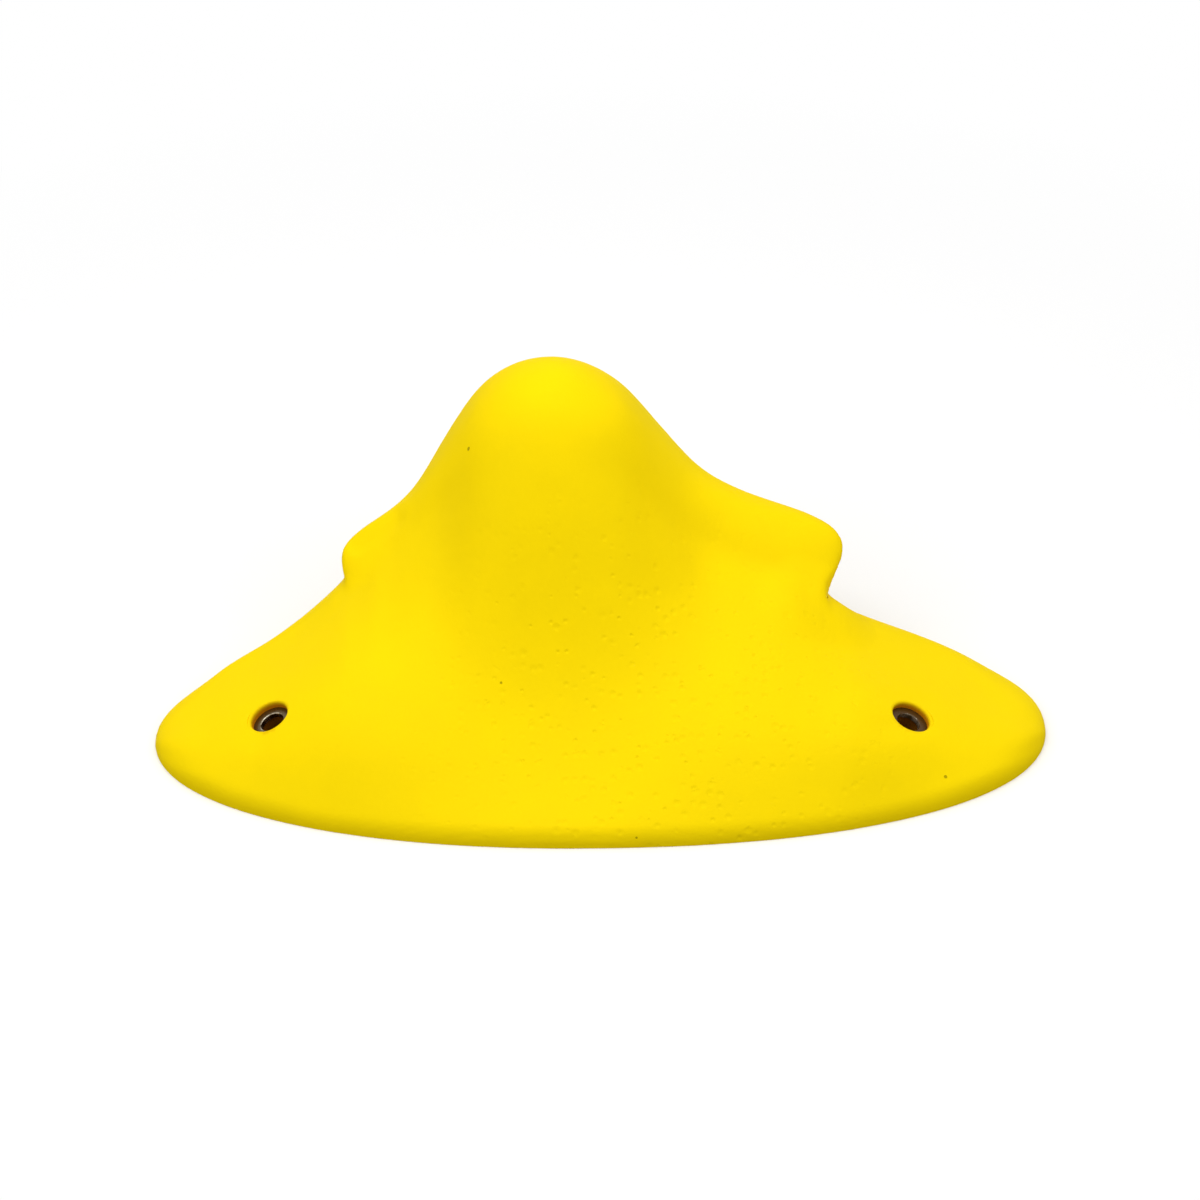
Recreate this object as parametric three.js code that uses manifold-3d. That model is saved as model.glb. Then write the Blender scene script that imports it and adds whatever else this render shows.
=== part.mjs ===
// A screw-on climbing hold: one cast polyurethane body with a central horn and two rounded
// side lobes that overhang the finger scoop behind them, a hollow ground back, and a steel
// washer cast in round each of its two screw holes.
// Millimetres, +Z away from the wall, +Y up the wall.
import * as THREE from 'three';
import { mergeVertices } from 'three/addons/utils/BufferGeometryUtils.js';
import Module from 'manifold-3d';

const wasm = await Module();
wasm.setup();
const { clamp, degToRad, lerp } = THREE.MathUtils;

// Outline of the ground back
const HOLD_WIDTH = 240;
const FRONT_DEPTH = 50.5;
const BACK_DEPTH = 68;
const WING_DEPTH = 47;
const LEFT_TIP_SETBACK = 2.4;
const RIGHT_TIP_SETBACK = -2.8;
const FLANGE_MIDDLE = -10;
const FLANGE_HALF_WIDTH = 100;

// Heights and edges of the outer skin
const HORN_HEIGHT = 85.6;
const EDGE_ROLL_HEIGHT = 6.2;
const EDGE_ROLL_DEPTH = 5.2;
const TIP_ROLL = 11;
const LIP_REACH = 24;
const INCUT_DEPTH = 5;
const FLANGE_HEIGHT = 6;
const CREASE_DEPTH = 1.6;

// The hollow in the back
const WALL = 8;
const POCKET_HEIGHT = 50;
const POCKET_END_HEIGHT = 18;
const POCKET_HALF_WIDTH = 55;
const POCKET_MIDDLE = -2;
const RIM_WIDTH = 18;
const POCKET_DRAFT = 3;

// Screw holes, inset from the tips and square to the slope of the face, and the washers cast
// in under their recesses
const LEFT_HOLE_INSET = 31.2;
const RIGHT_HOLE_INSET = 37;
const HOLE_SETBACK = 12;
const RECESS_DIAMETER = 11.2;
const RECESS_DEPTH = 2.8;
const RECESS_MOUTH_ROUND = 1.4;
const WASHER_BORE = 6.4;
const WASHER_THICKNESS = 1.6;
const WASHER_EMBED = 1.6;
const WASHER_EDGE = 0.25;
const WASHER_GAP = 0.3;
const THROUGH_CLEARANCE = 0.5;

// One overrun serves all cuts, and points closer than the merge distance are one
const CUT_OVERRUN = 4;
const MERGE_DISTANCE = 0.0005;
const HALF_WIDTH = HOLD_WIDTH / 2;

// One row for each station from the left tip to the right tip. Its columns are the place of
// the foot and of the crest along the width, how far up the wall the crest is, its height,
// the shoulder where the front face meets the crest (its share of the run and of the rise),
// the reach of the lip, its thickness, how far the back is scooped out, and how much of the
// concave sweep of the horn the front has.
const stationShares = [
  [-1.000, -1.000, -0.060, 0.070, 0.75, 1.00, 0.20, 0.06, 0.00, 0.00],
  [-0.942, -0.942,  0.000, 0.074, 0.80, 1.10, 0.28, 0.08, 0.00, 0.00],
  [-0.850, -0.850,  0.263, 0.102, 0.80, 1.28, 0.34, 0.10, 0.00, 0.00],
  [-0.750, -0.750,  0.363, 0.146, 0.83, 1.17, 0.38, 0.11, 0.10, 0.04],
  [-0.650, -0.650,  0.438, 0.227, 0.87, 1.01, 0.39, 0.12, 0.35, 0.17],
  [-0.600, -0.600,  0.460, 0.291, 0.90, 0.96, 0.37, 0.11, 0.62, 0.31],
  [-0.575, -0.578,  0.492, 0.318, 0.90, 0.97, 0.33, 0.08, 0.78, 0.37],
  [-0.555, -0.590,  0.530, 0.356, 0.90, 0.92, 0.31, 0.07, 0.90, 0.42],
  [-0.535, -0.588,  0.565, 0.395, 0.89, 0.885, 0.35, 0.09, 0.97, 0.47],
  [-0.510, -0.553,  0.595, 0.433, 0.89, 0.89, 0.42, 0.11, 1.00, 0.54],
  [-0.475, -0.495,  0.620, 0.477, 0.89, 0.90, 0.50, 0.12, 1.00, 0.62],
  [-0.430, -0.433,  0.640, 0.535, 0.90, 0.93, 0.61, 0.13, 1.00, 0.70],
  [-0.360, -0.360,  0.690, 0.692, 0.86, 0.86, 0.86, 0.18, 1.00, 0.82],
  [-0.270, -0.270,  0.703, 0.892, 0.79, 0.84, 1.00, 0.22, 1.00, 0.95],
  [-0.117, -0.117,  0.706, 1.000, 0.77, 0.83, 1.00, 0.24, 1.00, 1.00],
  [ 0.042,  0.042,  0.706, 0.904, 0.78, 0.82, 1.00, 0.23, 1.00, 0.96],
  [ 0.132,  0.132,  0.698, 0.741, 0.81, 0.81, 0.95, 0.19, 1.00, 0.86],
  [ 0.222,  0.222,  0.674, 0.602, 0.83, 0.79, 0.78, 0.15, 1.00, 0.74],
  [ 0.312,  0.312,  0.647, 0.542, 0.84, 0.77, 0.63, 0.12, 1.00, 0.65],
  [ 0.400,  0.408,  0.620, 0.510, 0.83, 0.72, 0.54, 0.12, 1.00, 0.57],
  [ 0.440,  0.480,  0.600, 0.485, 0.81, 0.67, 0.48, 0.11, 1.00, 0.52],
  [ 0.465,  0.538,  0.577, 0.450, 0.80, 0.66, 0.40, 0.10, 1.00, 0.46],
  [ 0.485,  0.552,  0.540, 0.398, 0.80, 0.71, 0.31, 0.07, 1.00, 0.43],
  [ 0.500,  0.522,  0.480, 0.340, 0.82, 0.80, 0.29, 0.06, 0.93, 0.39],
  [ 0.520,  0.506,  0.412, 0.290, 0.84, 0.90, 0.32, 0.08, 0.82, 0.33],
  [ 0.550,  0.538,  0.362, 0.257, 0.84, 0.94, 0.37, 0.11, 0.66, 0.24],
  [ 0.630,  0.630,  0.370, 0.190, 0.80, 1.07, 0.38, 0.13, 0.30, 0.10],
  [ 0.730,  0.730,  0.395, 0.133, 0.76, 1.21, 0.36, 0.11, 0.06, 0.04],
  [ 0.820,  0.820,  0.328, 0.100, 0.76, 1.25, 0.34, 0.09, 0.00, 0.00],
  [ 0.930,  0.930,  0.030, 0.075, 0.80, 1.10, 0.28, 0.07, 0.00, 0.00],
  [ 1.000,  1.000,  0.020, 0.070, 0.75, 1.00, 0.20, 0.06, 0.00, 0.00],
];

// Rise against run of the front face from the edge roll to the shoulder: the rounded plateau
// of the wings and the swept ramp of the horn. Then the same from the shoulder to the crest,
// straight on the wings and rounded over on the horn.
const RAMP_STEPS = 13;
const rampRunShares = [0, 0.22, 0.43, 0.60, 0.71, 0.80, 0.90, 1.00];
const wingRampShares = [0, 0.83, 1.16, 1.19, 1.165, 1.12, 1.06, 1.00];
const hornRampShares = [0, 0.10, 0.24, 0.425, 0.58, 0.715, 0.865, 1.00];
const shelfRunShares = [0.25, 0.50, 0.75, 1.00];
const hornShelfShares = [0.46, 0.76, 0.93, 1.00];
// How far the points of the shelf follow the crest sideways, and how deep they crease
const shelfLeanShares = [0.20, 0.50, 0.80, 1.00];
const creaseShares = [0.55, 1.00, 0.60, 0.00];

// The throat behind the lip, from the underside (1 in height) down to the flange (0), with
// the depth from the throat (0) to the crest (1), and how far each point leans sideways
const throatShares = [
  [0.25, 0.875, 0.24], [0.00, 0.65, 0.16], [0.00, 0.35, 0.08], [0.30, 0.10, 0.00],
];
// The flange from under the crest (0) to the back foot (1), with its height
const flangeShares = [[0.25, 1.00], [0.70, 0.95], [0.90, 0.75], [0.98, 0.40], [1.00, 0.00]];
const LIP_TURN = degToRad(165);
const LIP_STEPS = 10;
// The lip's underside follows the crest sideways by this share
const undersideLeanShare = 0.3;
// The edge roll takes no more than these shares of a section's depth and height
const ROLL_TURN = degToRad(60);
const ROLL_STEPS = 6;
const rollDepthShare = 0.2;
const rollHeightShare = 0.8;
// The round edge of a wing's plain back drops by no more than this share of its height, and
// the flange stays under this share of the height of the lip's underside
const plainDropShare = 0.85;
const flangeTopShare = 0.6;

// The two rises of the ramp at any share of its run, by cubic interpolation
const rampCurve = new THREE.CubicInterpolant(
  rampRunShares,
  rampRunShares.flatMap((_, i) => [wingRampShares[i], hornRampShares[i]]),
  2,
);

// A station's values at any place across the width, by cubic interpolation of the rows
const stationCurve = new THREE.CubicInterpolant(
  stationShares.map((row) => row[0]),
  stationShares.flatMap((row) => row.slice(1)),
  stationShares[0].length - 1,
);

// The rounding of the tips as a share of full height
function tipRollShare(place) {
  const inset = Math.min((1 - Math.abs(place)) * HALF_WIDTH / TIP_ROLL, 1);
  return Math.sqrt(1 - (1 - inset) ** 2);
}

// The outline of the ground back: a superellipse in front, a little fuller on the right, and
// behind it a shallower one with the flange bulging out under the horn
const LEFT_FRONT_POWER = 2.12;
const RIGHT_FRONT_POWER = 2.2;
const LEFT_BACK_POWER = 2.05;
const RIGHT_BACK_POWER = 2.2;
const superellipse = (share, power) => (1 - Math.abs(share) ** power) ** (1 / power);
const tipLine = (place) => -lerp(LEFT_TIP_SETBACK, RIGHT_TIP_SETBACK, (place + 1) / 2);

function frontFootY(place) {
  const power = place < 0 ? LEFT_FRONT_POWER : RIGHT_FRONT_POWER;
  return tipLine(place) - (FRONT_DEPTH + tipLine(0)) * superellipse(place, power);
}

function backFootY(place) {
  const power = place < 0 ? LEFT_BACK_POWER : RIGHT_BACK_POWER;
  const wing = tipLine(place) + (WING_DEPTH - tipLine(0)) * superellipse(place, power);
  const away = Math.min(Math.abs(place * HALF_WIDTH - FLANGE_MIDDLE) / FLANGE_HALF_WIDTH, 1);
  return wing + (BACK_DEPTH - WING_DEPTH) * Math.cos(away * Math.PI / 2) ** 2;
}

// The crease between the horn and the left lobe fades out on both sides of its middle
const creaseMiddleShare = -0.49;
const creaseHalfShare = 0.11;
function creaseDepth(place) {
  const away = Math.min(Math.abs(place - creaseMiddleShare) / creaseHalfShare, 1);
  return CREASE_DEPTH * Math.cos(away * Math.PI / 2) ** 2;
}

function sectionSizes(place) {
  const [crestX, crestY, crestZ, shoulderRun, shoulderRise, reach, thickness, scoop, sweep] =
    stationCurve.evaluate(place);
  const roll = tipRollShare(place);
  const frontY = frontFootY(place);
  const backY = backFootY(place);
  const height = crestZ * HORN_HEIGHT * roll;
  const flange = FLANGE_HEIGHT * roll;
  const scooped = clamp(scoop, 0, 1);
  const mostDrop = lerp(height * plainDropShare, (height - flange) / 2, scooped);
  return {
    place, frontY, backY, shoulderRun, shoulderRise, flange,
    footX: place * HALF_WIDTH,
    crestX: crestX * HALF_WIDTH,
    crestY: crestY * BACK_DEPTH,
    crestZ: height,
    reach: reach * LIP_REACH,
    drop: Math.min(thickness * HORN_HEIGHT * roll, mostDrop),
    rollDepth: Math.min(EDGE_ROLL_DEPTH, (backY - frontY) * rollDepthShare),
    rollHeight: Math.min(EDGE_ROLL_HEIGHT * roll, height * rollHeightShare),
    scoop: scooped,
    sweep: clamp(sweep, 0, 1),
  };
}

// The front of a section as [y, z, lean] points, from the foot over the edge roll and the
// ramp to the crest
function frontFace(s) {
  const points = [];
  for (let i = 0; i <= ROLL_STEPS; i += 1) {
    const angle = (i / ROLL_STEPS) * ROLL_TURN;
    points.push([s.frontY + s.rollDepth * (1 - Math.cos(angle)), s.rollHeight * Math.sin(angle), 0]);
  }
  const [startY, startZ] = points.at(-1);
  const shoulderY = lerp(startY, s.crestY, s.shoulderRun);
  const shoulderZ = lerp(startZ, s.crestZ, s.shoulderRise);
  for (let i = 1; i <= RAMP_STEPS; i += 1) {
    const run = i / RAMP_STEPS;
    const [wingRise, hornRise] = rampCurve.evaluate(run);
    const rise = lerp(wingRise, hornRise, s.sweep);
    points.push([lerp(startY, shoulderY, run), lerp(startZ, shoulderZ, rise), 0]);
  }
  shelfRunShares.forEach((run, i) => {
    const rise = lerp(run, hornShelfShares[i], s.sweep);
    const height = lerp(shoulderZ, s.crestZ, rise) - creaseShares[i] * creaseDepth(s.place);
    points.push([lerp(shoulderY, s.crestY, run), height, shelfLeanShares[i]]);
  });
  return points;
}

// The back of a section: an elliptic lip from the crest round the nose to its underside, then
// the throat, and the flange down to the back foot. With no scoop this becomes the plain back
// of a wing, which is a round edge and a wall straight down to the foot.
function backFace(s) {
  const points = [];
  const turn = lerp(Math.PI / 2, LIP_TURN, s.scoop);
  const reach = lerp(s.backY - s.crestY, s.reach, s.scoop);
  for (let i = 1; i <= LIP_STEPS; i += 1) {
    const angle = (i / LIP_STEPS) * turn;
    points.push([
      s.crestY + reach * Math.sin(angle),
      s.crestZ - s.drop * (1 - Math.cos(angle)),
      lerp(1, undersideLeanShare, i / LIP_STEPS),
    ]);
  }
  const undersideZ = points.at(-1)[1];
  const flangeZ = Math.min(s.flange, undersideZ * flangeTopShare);
  throatShares.forEach(([depth, height, lean]) => {
    const throatY = s.crestY - INCUT_DEPTH * (1 - depth);
    points.push([lerp(s.backY, throatY, s.scoop), lerp(flangeZ, undersideZ, height), lean]);
  });
  flangeShares.forEach(([run, height]) => {
    points.push([lerp(lerp(s.backY, s.crestY, s.scoop), s.backY, run), flangeZ * height, 0]);
  });
  return points;
}

// One closed section across the hold, from the front foot over the lip to the back foot
function outerSection(place) {
  const s = sectionSizes(place);
  return [...frontFace(s), ...backFace(s)].map(([y, z, lean]) => (
    new THREE.Vector3(lerp(s.footX, s.crestX, lean), y, z)
  ));
}

// Places of the sections as spans from one place to the next with the sections in each,
// closer together round the tips and the ends of the lobes
const tipPlaceShare = 0.9995;
const spanShares = [
  [-1, -0.62, 14], [-0.62, -0.46, 13], [-0.46, 0.43, 26], [0.43, 0.56, 13], [0.56, 1, 14],
];
function sectionPlaces() {
  const places = spanShares.flatMap(([from, to, count]) => (
    Array.from({ length: count }, (_, i) => {
      const even = i / count;
      if (from === -1) return lerp(from, to, 1 - Math.cos(even * Math.PI / 2));
      if (to === 1) return lerp(from, to, Math.sin(even * Math.PI / 2));
      return lerp(from, to, even);
    })
  ));
  places[0] = -tipPlaceShare;
  places.push(tipPlaceShare);
  return places;
}

// A closed skin over a row of sections with the same number of points, each end closed by a
// fan to its middle
function loftGeometry(sections) {
  const width = sections[0].length;
  const positions = sections.flat().flatMap((point) => point.toArray());
  const indices = [];
  for (let i = 0; i < sections.length - 1; i += 1) {
    for (let j = 0; j < width; j += 1) {
      const a = i * width + j;
      const b = i * width + ((j + 1) % width);
      indices.push(a, b + width, b, a, a + width, b + width);
    }
  }
  [0, sections.length - 1].forEach((row) => {
    const middle = new THREE.Vector3();
    sections[row].forEach((point) => middle.addScaledVector(point, 1 / width));
    const hub = positions.length / 3;
    positions.push(...middle.toArray());
    for (let j = 0; j < width; j += 1) {
      const a = row * width + j;
      const b = row * width + ((j + 1) % width);
      indices.push(hub, row === 0 ? a : b, row === 0 ? b : a);
    }
  });
  const geometry = new THREE.BufferGeometry();
  geometry.setAttribute('position', new THREE.Float32BufferAttribute(positions, 3));
  geometry.setIndex(indices);
  return geometry;
}

// A profile of [radius, height] points turned round +Z
function turned(profile, segments) {
  const outline = profile.map(([radius, height]) => new THREE.Vector2(radius, height));
  return new THREE.LatheGeometry(outline, segments).rotateX(Math.PI / 2);
}

// A closed geometry as a solid that can be cut, and back
function solidOf(geometry) {
  geometry.deleteAttribute('normal');
  geometry.deleteAttribute('uv');
  const merged = mergeVertices(geometry, MERGE_DISTANCE);
  const triangles = [];
  for (let i = 0; i < merged.index.count; i += 3) {
    const [a, b, c] = [0, 1, 2].map((k) => merged.index.getX(i + k));
    if (a !== b && b !== c && c !== a) triangles.push(a, b, c);
  }
  return new wasm.Manifold(new wasm.Mesh({
    numProp: 3,
    vertProperties: Float32Array.from(merged.attributes.position.array),
    triVerts: Uint32Array.from(triangles),
  }));
}

function geometryOf(solid) {
  const mesh = solid.getMesh();
  const geometry = new THREE.BufferGeometry();
  geometry.setAttribute('position', new THREE.BufferAttribute(Float32Array.from(mesh.vertProperties), 3));
  geometry.setIndex(Array.from(mesh.triVerts));
  return geometry;
}

// Height of the front face at a place across the width and up the wall
function frontSurfaceZ(place, y) {
  const face = frontFace(sectionSizes(place));
  const next = face.findIndex((point) => point[0] > y);
  const [lowY, lowZ] = face[next - 1];
  const [highY, highZ] = face[next];
  return lerp(lowZ, highZ, (y - lowY) / (highY - lowY));
}

// The hollow under the horn: its roof follows the front face one wall thickness below and
// rounds off into a level ceiling, and its back wall stays clear of the throat
const POCKET_SECTIONS = 19;
const ROOF_STEPS = 9;
const ROOF_POWER = 4;
const POCKET_POWER = 4;
const pocketReachShare = 0.985;
// The wall is measured straight down, so on the slope it takes this share of its thickness
const roofCoverShare = 1.3;
function pocketSection(share) {
  const place = (POCKET_MIDDLE + share * POCKET_HALF_WIDTH) / HALF_WIDTH;
  const s = sectionSizes(place);
  const farFrontY = s.frontY + RIM_WIDTH;
  const farBackY = s.crestY - INCUT_DEPTH - WALL;
  const round = (1 - superellipse(share, POCKET_POWER)) / 2;
  const frontY = lerp(farFrontY, farBackY, round);
  const backY = lerp(farBackY, farFrontY, round);
  const ceiling = lerp(POCKET_HEIGHT, POCKET_END_HEIGHT, share ** 2);
  const points = [[frontY - POCKET_DRAFT, -CUT_OVERRUN]];
  for (let i = 0; i <= ROOF_STEPS; i += 1) {
    const y = lerp(frontY, backY - POCKET_DRAFT, i / ROOF_STEPS);
    const below = Math.max(frontSurfaceZ(place, y) - WALL * roofCoverShare, 0);
    points.push([y, (below ** -ROOF_POWER + ceiling ** -ROOF_POWER) ** (-1 / ROOF_POWER)]);
  }
  points.push([backY, -CUT_OVERRUN]);
  return points.map(([y, z]) => new THREE.Vector3(s.footX, y, z));
}

function pocketSolid() {
  const shares = Array.from({ length: POCKET_SECTIONS }, (_, i) => (
    pocketReachShare * Math.sin(((2 * i) / (POCKET_SECTIONS - 1) - 1) * Math.PI / 2)
  ));
  return solidOf(loftGeometry(shares.map(pocketSection)));
}

// A screw hole at a place along the width: the middle of its mouth on the face, and the turn
// that lays it square to the slope there
function screwHole(x) {
  const reach = RECESS_DIAMETER / 2;
  const height = (stepX, stepY) => frontSurfaceZ((x + stepX) / HALF_WIDTH, stepY - HOLE_SETBACK);
  const across = height(reach, 0) - height(-reach, 0);
  const along = height(0, reach) - height(0, -reach);
  const square = new THREE.Vector3(-across, -along, RECESS_DIAMETER).normalize();
  return {
    square,
    mouth: new THREE.Vector3(x, -HOLE_SETBACK, height(0, 0)),
    turn: new THREE.Quaternion().setFromUnitVectors(new THREE.Vector3(0, 0, 1), square),
  };
}

// The cut for a screw hole: the through hole, the groove of the washer, the head recess and
// its rounded mouth, in one turned profile with its heights measured from the face
const HOLE_SEGMENTS = 32;
const MOUTH_STEPS = 4;
function holeCutter({ mouth, square, turn }) {
  const recess = RECESS_DIAMETER / 2;
  const through = WASHER_BORE / 2 + THROUGH_CLEARANCE;
  const groove = recess + WASHER_EMBED + WASHER_GAP;
  const grooveTop = WASHER_GAP - RECESS_DEPTH;
  const grooveBottom = -RECESS_DEPTH - WASHER_THICKNESS - WASHER_GAP;
  const bottom = -(mouth.z + CUT_OVERRUN) / square.z;
  const profile = [
    [0, bottom], [through, bottom], [through, grooveBottom], [groove, grooveBottom],
    [groove, grooveTop], [recess, grooveTop],
  ];
  for (let i = 0; i <= MOUTH_STEPS; i += 1) {
    const angle = (i / MOUTH_STEPS) * Math.PI / 2;
    profile.push([
      recess + RECESS_MOUTH_ROUND * (1 - Math.cos(angle)),
      RECESS_MOUTH_ROUND * (Math.sin(angle) - 1),
    ]);
  }
  profile.push([recess + RECESS_MOUTH_ROUND, CUT_OVERRUN], [0, CUT_OVERRUN]);
  return solidOf(turned(profile, HOLE_SEGMENTS).applyQuaternion(turn).translate(...mouth));
}

const WASHER_SEGMENTS = 40;
function washerGeometry() {
  const inner = WASHER_BORE / 2;
  const outer = RECESS_DIAMETER / 2 + WASHER_EMBED;
  const top = WASHER_THICKNESS;
  return turned([
    [inner, 0], [outer - WASHER_EDGE, 0], [outer, WASHER_EDGE], [outer, top - WASHER_EDGE],
    [outer - WASHER_EDGE, top], [inner, top], [inner, 0],
  ], WASHER_SEGMENTS);
}

const castYellow = () => new THREE.MeshStandardMaterial({ color: 0xfcde02, roughness: 0.7, metalness: 0 });
const zincSteel = () => new THREE.MeshStandardMaterial({ color: 0xb9b4a8, roughness: 0.35, metalness: 1 });

function addPart(group, name, geometry, material) {
  const mesh = new THREE.Mesh(geometry, material);
  mesh.name = name;
  group.add(mesh);
  return mesh;
}

// A washer on the floor of its recess
function addWasher(group, name, { mouth, square, turn }) {
  const washer = addPart(group, name, washerGeometry(), zincSteel());
  washer.quaternion.copy(turn);
  washer.position.copy(mouth).addScaledVector(square, -RECESS_DEPTH - WASHER_THICKNESS);
}

const leftHole = screwHole(-HALF_WIDTH + LEFT_HOLE_INSET);
const rightHole = screwHole(HALF_WIDTH - RIGHT_HOLE_INSET);
const cutters = [pocketSolid(), holeCutter(leftHole), holeCutter(rightHole)];
const skin = solidOf(loftGeometry(sectionPlaces().map(outerSection)));
const body = cutters.reduce((solid, cutter) => solid.subtract(cutter), skin);

const hold = new THREE.Group();
addPart(hold, 'hold_body', geometryOf(body), castYellow());
addWasher(hold, 'left_washer', leftHole);
addWasher(hold, 'right_washer', rightHole);

// The origin is the bottom centre of the part
const bounds = new THREE.Box3().setFromObject(hold);
const centre = bounds.getCenter(new THREE.Vector3());
hold.position.set(-centre.x, -centre.y, -bounds.min.z);

export default hold;
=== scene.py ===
"""A screw-on climbing hold cast in yellow polyurethane, with a steel washer in each screw hole."""

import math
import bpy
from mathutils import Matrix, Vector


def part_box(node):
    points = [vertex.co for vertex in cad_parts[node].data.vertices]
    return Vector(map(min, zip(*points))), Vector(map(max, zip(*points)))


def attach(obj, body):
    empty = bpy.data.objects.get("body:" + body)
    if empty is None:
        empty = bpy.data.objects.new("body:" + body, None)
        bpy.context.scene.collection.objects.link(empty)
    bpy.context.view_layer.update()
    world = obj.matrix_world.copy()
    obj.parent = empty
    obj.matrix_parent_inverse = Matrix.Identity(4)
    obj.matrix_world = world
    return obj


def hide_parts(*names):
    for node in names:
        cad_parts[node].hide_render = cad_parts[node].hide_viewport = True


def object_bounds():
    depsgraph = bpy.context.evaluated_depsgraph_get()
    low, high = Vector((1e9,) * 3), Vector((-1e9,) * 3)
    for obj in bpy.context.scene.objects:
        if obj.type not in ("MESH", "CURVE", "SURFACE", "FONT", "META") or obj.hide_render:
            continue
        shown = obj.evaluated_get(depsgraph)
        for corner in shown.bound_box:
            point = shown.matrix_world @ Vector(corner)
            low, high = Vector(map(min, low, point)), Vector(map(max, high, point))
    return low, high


bl_info = {
    "name": "Climbing Hold",
    "version": (1, 0, 0),
    "blender": (4, 5, 0),
    "location": "View3D > Sidebar > Climbing Hold",
    "description": "Builds a cast climbing hold, its washers and the stage it is shown on",
    "category": "Object",
}

import bmesh
import bpy
from mathutils import Matrix, Vector, noise
from mathutils.bvhtree import BVHTree
from mathutils.geometry import intersect_point_line

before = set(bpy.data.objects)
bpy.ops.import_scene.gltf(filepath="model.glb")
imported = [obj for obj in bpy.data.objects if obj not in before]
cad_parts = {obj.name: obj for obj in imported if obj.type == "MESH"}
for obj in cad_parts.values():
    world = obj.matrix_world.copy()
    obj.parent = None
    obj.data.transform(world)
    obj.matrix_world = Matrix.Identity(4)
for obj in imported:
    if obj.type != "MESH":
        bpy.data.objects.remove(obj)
CAD_LOW, CAD_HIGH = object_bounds()
MM = 0.001
MERGE_DISTANCE = 0.001 * MM
WASHERS = ("left_washer", "right_washer")
DEPTH_LAYER = "recess_depth"


class HoldBodySettings(bpy.types.PropertyGroup):
    """Sizes and colours of the cast body"""

    skin_colour: bpy.props.FloatVectorProperty(
        name="Skin Colour",
        description="Colour of the cast polyurethane",
        subtype="COLOR",
        size=3,
        min=0,
        max=1,
        default=(0.985, 0.72, 0.001),
    )
    ground_colour: bpy.props.FloatVectorProperty(
        name="Ground Back Colour",
        description="Colour of the back where it is ground flat",
        subtype="COLOR",
        size=3,
        min=0,
        max=1,
        default=(0.93, 0.72, 0.12),
    )
    # Painted shade: the recess walls are given a deeper, more orange colour for the shade and the
    # bounced light down the recess.
    recess_shade_colour: bpy.props.FloatVectorProperty(
        name="Recess Colour",
        description="Colour of the recess walls, deepened by the light that bounces between them",
        subtype="COLOR",
        size=3,
        min=0,
        max=1,
        default=(0.58, 0.21, 0.003),
    )
    # Painted shade: the screw hole under the washer is given a near-black brown for the shade in
    # it.
    shaft_shade_colour: bpy.props.FloatVectorProperty(
        name="Shaft Colour",
        description="Colour of the screw hole under the washer, where little light comes",
        subtype="COLOR",
        size=3,
        min=0,
        max=1,
        default=(0.22, 0.075, 0.002),
    )
    skin_detail: bpy.props.FloatProperty(
        name="Skin Detail",
        description="Edge length of the finished skin",
        default=1.0 * MM,
        min=0.8 * MM,
        max=4 * MM,
        precision=5,
        unit="LENGTH",
    )
    unevenness: bpy.props.FloatProperty(
        name="Unevenness",
        description="How far the hand-shaped skin strays from an even surface",
        default=0.07 * MM,
        min=0,
        max=1 * MM,
        precision=5,
        unit="LENGTH",
    )
    grain_depth: bpy.props.FloatProperty(
        name="Grain Depth",
        description="Depth of the fine mould grain in the skin",
        default=0.045 * MM,
        min=0,
        max=1 * MM,
        precision=5,
        unit="LENGTH",
    )
    dented_middle: bpy.props.FloatVectorProperty(
        name="Dented Middle",
        description="Point of the skin round which the mould left the most dents",
        subtype="XYZ",
        unit="LENGTH",
        size=3,
        precision=5,
        default=(15 * MM, -30 * MM, 15 * MM),
    )
    recess_diameter: bpy.props.FloatProperty(
        name="Recess Diameter",
        description="Diameter of the recess for a screw head",
        default=10.6 * MM,
        min=6 * MM,
        max=14 * MM,
        precision=5,
        unit="LENGTH",
    )
    recess_mouth_round: bpy.props.FloatProperty(
        name="Recess Mouth Round",
        description="Radius of the rounded mouth of a screw recess",
        default=0.8 * MM,
        min=0.2 * MM,
        max=3 * MM,
        precision=5,
        unit="LENGTH",
    )
    through_diameter: bpy.props.FloatProperty(
        name="Through Diameter",
        description="Diameter of the screw hole under the washer",
        default=7.4 * MM,
        min=4 * MM,
        max=10 * MM,
        precision=5,
        unit="LENGTH",
    )
    washer_gap: bpy.props.FloatProperty(
        name="Washer Gap",
        description="Gap between a washer and the groove it lies in",
        default=0.08 * MM,
        min=0.02 * MM,
        max=1 * MM,
        precision=5,
        unit="LENGTH",
    )


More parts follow.
